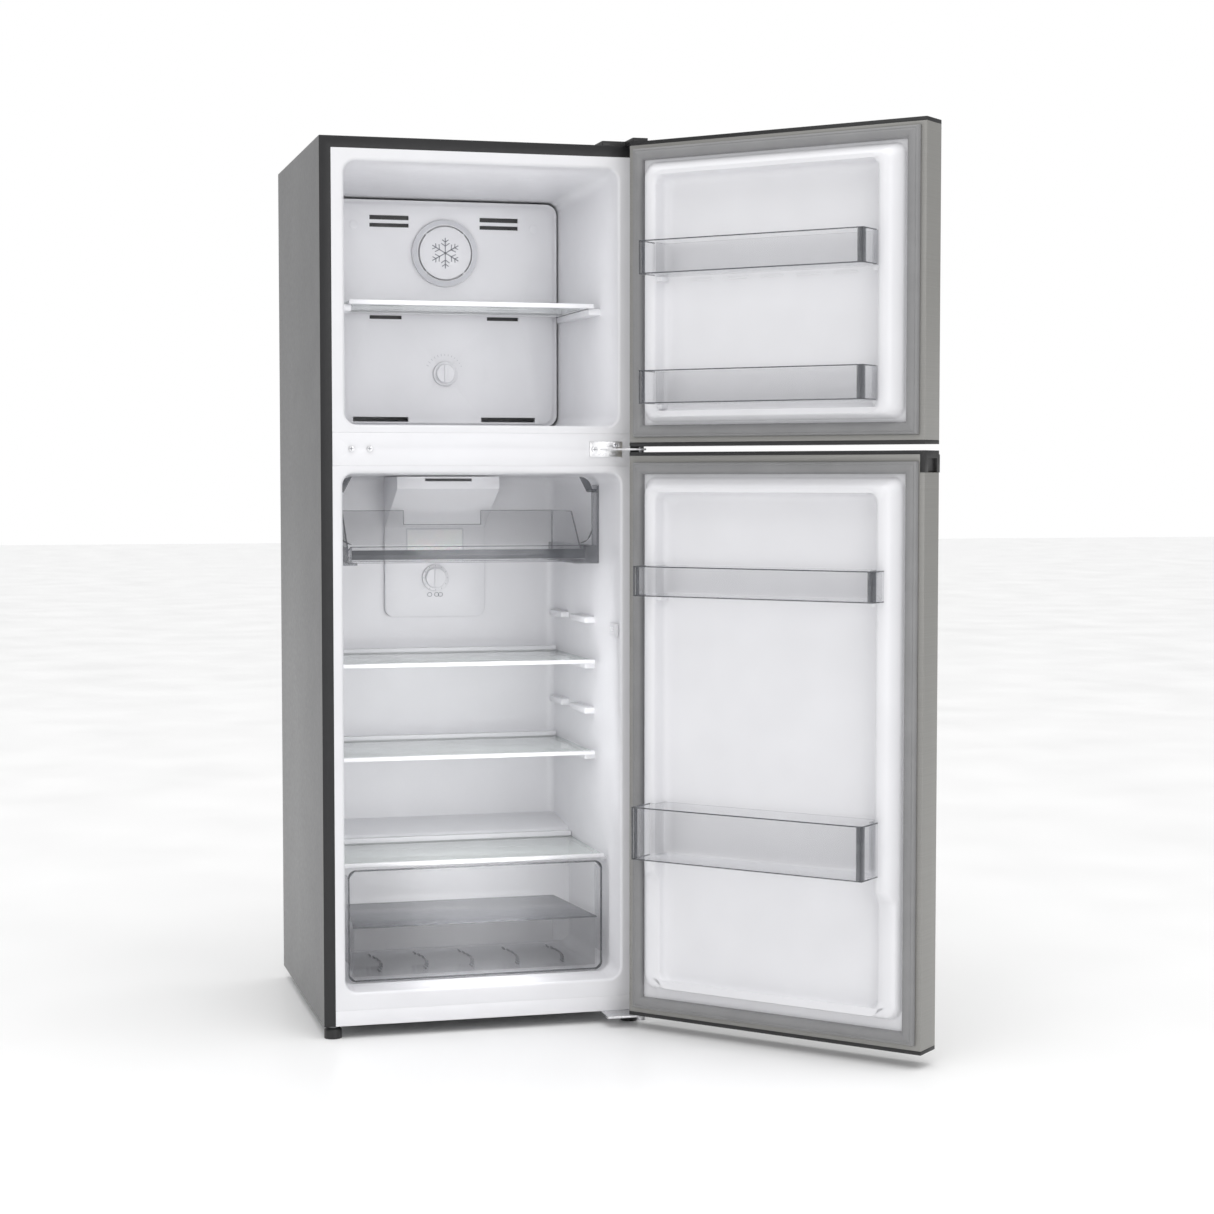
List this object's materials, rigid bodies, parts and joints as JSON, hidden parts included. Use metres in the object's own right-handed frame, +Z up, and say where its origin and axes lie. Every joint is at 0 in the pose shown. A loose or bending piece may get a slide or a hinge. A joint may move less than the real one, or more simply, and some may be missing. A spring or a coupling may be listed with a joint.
{
  "type": "top freezer refrigerator",
  "caption": "Tall narrow two-door refrigerator with a freezer above, glass shelves, clear drawers and door bins, doors open.",
  "frame": {"origin": "on the floor at the centre of the cabinet's footprint", "axes": "+Z up, -Y towards the user, +X towards the hinge side"},
  "size_m": [0.9081, 0.9783, 1.4825],
  "materials": {
    "shell_paint": "satin",
    "frame_paint": "satin",
    "white_metal": "gloss",
    "zinc_sheet": "satin",
    "hinge_steel": "satin",
    "door_metal": "satin",
    "compressor_paint": "gloss",
    "aluminium": "satin",
    "foam": "matte",
    "liner_plastic": "gloss",
    "white_plastic": "satin",
    "black_plastic": "satin",
    "grey_plastic": "satin",
    "gasket_rubber": "matte",
    "rubber": "matte",
    "shelf_glass": "gloss",
    "clear_plastic": "gloss",
    "smoke_plastic": "gloss",
    "lens_plastic": "satin"
  },
  "bodies": {
    "cabinet": {"outer_shell": "shell_paint", "front_frame": "frame_paint", "back_panel": "zinc_sheet", "base_pan": "zinc_sheet", "insulation_foam": "foam", "freezer_liner": "liner_plastic", "fridge_liner": "liner_plastic", "crossrail_cover": "white_metal", "plinth": "white_metal", "top_hinge": "hinge_steel", "mid_hinge": "hinge_steel", "bottom_hinge": "hinge_steel", "top_hinge_cover": "black_plastic", "cabinet_screws": "hinge_steel", "compressor": "compressor_paint", "condenser": "compressor_paint", "drip_tray": "black_plastic", "cord_gland": "rubber", "evaporator": "aluminium", "evaporator_cover": "white_plastic", "fan_guard": "white_plastic", "fan_motor": "grey_plastic", "crisper_shelf_glass": "shelf_glass", "crisper_shelf_trim": "white_plastic", "air_duct": "white_plastic", "lamp_lens": "lens_plastic", "light_switch": "white_plastic", "chiller_runners": "smoke_plastic"},
    "freezer_door": {"freezer_door_skin": "door_metal", "freezer_door_caps": "black_plastic", "freezer_door_foam": "foam", "freezer_door_liner": "liner_plastic", "freezer_door_gasket": "gasket_rubber"},
    "fridge_door": {"fridge_door_skin": "door_metal", "fridge_door_caps": "black_plastic", "fridge_door_foam": "foam", "fridge_door_liner": "liner_plastic", "fridge_door_gasket": "gasket_rubber"},
    "freezer_shelf": {"freezer_shelf_glass": "shelf_glass", "freezer_shelf_trim": "white_plastic"},
    "upper_shelf": {"upper_shelf_glass": "shelf_glass", "upper_shelf_trim": "white_plastic"},
    "lower_shelf": {"lower_shelf_glass": "shelf_glass", "lower_shelf_trim": "white_plastic"},
    "crisper": {"crisper_drawer": "clear_plastic", "crisper_lid": "smoke_plastic"},
    "chiller_tray": {"chiller_tray": "clear_plastic"},
    "chiller_flap": {"chiller_flap": "clear_plastic"},
    "freezer_knob": {"freezer_knob": "white_plastic"},
    "thermostat_knob": {"thermostat_knob": "white_plastic"},
    "switch_plunger": {"switch_plunger": "white_plastic"},
    "fan_blade": {"fan_blade": "grey_plastic"},
    "left_foot": {"left_foot": "black_plastic"},
    "right_foot": {"right_foot": "black_plastic"},
    "left_roller": {"left_roller": "grey_plastic"},
    "right_roller": {"right_roller": "grey_plastic"},
    "freezer_bin_upper": {"freezer_bin_upper": "clear_plastic"},
    "freezer_bin_lower": {"freezer_bin_lower": "clear_plastic"},
    "fridge_bin": {"fridge_bin": "clear_plastic"},
    "bottle_bin": {"bottle_bin": "clear_plastic"}
  },
  "joints": [
    {"name": "freezer_door_hinge", "type": "hinge", "parent": "cabinet", "child": "freezer_door", "pos_m": [0.26, -0.298, 1.22], "axis": [0, 0, 1], "range_deg": [-132.5, 7.5]},
    {"name": "fridge_door_hinge", "type": "hinge", "parent": "cabinet", "child": "fridge_door", "pos_m": [0.26, -0.298, 0.49], "axis": [0, 0, 1], "range_deg": [-132.5, 7.5]},
    {"name": "freezer_shelf_slide", "type": "slide", "parent": "cabinet", "child": "freezer_shelf", "axis": [0, -1, 0], "range_m": [0, 0.15]},
    {"name": "upper_shelf_slide", "type": "slide", "parent": "cabinet", "child": "upper_shelf", "axis": [0, -1, 0], "range_m": [0, 0.2]},
    {"name": "lower_shelf_slide", "type": "slide", "parent": "cabinet", "child": "lower_shelf", "axis": [0, -1, 0], "range_m": [0, 0.2]},
    {"name": "crisper_slide", "type": "slide", "parent": "cabinet", "child": "crisper", "axis": [0, -1, 0], "range_m": [0, 0.2]},
    {"name": "chiller_tray_slide", "type": "slide", "parent": "cabinet", "child": "chiller_tray", "axis": [0, -1, 0], "range_m": [0, 0.185]},
    {"name": "chiller_flap_hinge", "type": "hinge", "parent": "cabinet", "child": "chiller_flap", "pos_m": [0, -0.1215, 0.901], "axis": [-1, 0, 0], "range_deg": [0, 84.8]},
    {"name": "freezer_knob_turn", "type": "hinge", "parent": "cabinet", "child": "freezer_knob", "pos_m": [0, 0.0705, 1.108], "axis": [0, 1, 0], "range_deg": [-60, 60]},
    {"name": "thermostat_knob_turn", "type": "hinge", "parent": "cabinet", "child": "thermostat_knob", "pos_m": [0, 0.1705, 0.7407], "axis": [0, 1, 0], "range_deg": [-60, 60]},
    {"name": "light_switch_press", "type": "slide", "parent": "cabinet", "child": "switch_plunger", "axis": [1, 0, 0], "range_m": [0, 0.003], "stiffness_N_per_m": 300, "springref_m": -0.001},
    {"name": "fan_spin", "type": "hinge", "parent": "cabinet", "child": "fan_blade", "pos_m": [0, 0.0895, 1.321], "axis": [0, 1, 0], "continuous": true},
    {"name": "left_foot_turn", "type": "hinge", "parent": "cabinet", "child": "left_foot", "pos_m": [-0.2535, -0.2445, 0.01], "axis": [0, 0, 1], "continuous": true},
    {"name": "right_foot_turn", "type": "hinge", "parent": "cabinet", "child": "right_foot", "pos_m": [0.2535, -0.2445, 0.01], "axis": [0, 0, 1], "continuous": true},
    {"name": "left_roller_spin", "type": "hinge", "parent": "cabinet", "child": "left_roller", "pos_m": [-0.2, 0.2195, 0.01], "axis": [1, 0, 0], "continuous": true},
    {"name": "right_roller_spin", "type": "hinge", "parent": "cabinet", "child": "right_roller", "pos_m": [0.2, 0.2195, 0.01], "axis": [1, 0, 0], "continuous": true},
    {"name": "freezer_bin_upper_lift", "type": "slide", "parent": "freezer_door", "child": "freezer_bin_upper", "axis": [0, 0, 1], "range_m": [0, 0.03]},
    {"name": "freezer_bin_lower_lift", "type": "slide", "parent": "freezer_door", "child": "freezer_bin_lower", "axis": [0, 0, 1], "range_m": [0, 0.03]},
    {"name": "fridge_bin_lift", "type": "slide", "parent": "fridge_door", "child": "fridge_bin", "axis": [0, 0, 1], "range_m": [0, 0.03]},
    {"name": "bottle_bin_lift", "type": "slide", "parent": "fridge_door", "child": "bottle_bin", "axis": [0, 0, 1], "range_m": [0, 0.03]}
  ],
  "couplings": [
    {"joint": "chiller_flap_hinge", "follows": "chiller_tray_slide", "rad_per_m": 8}
  ]
}
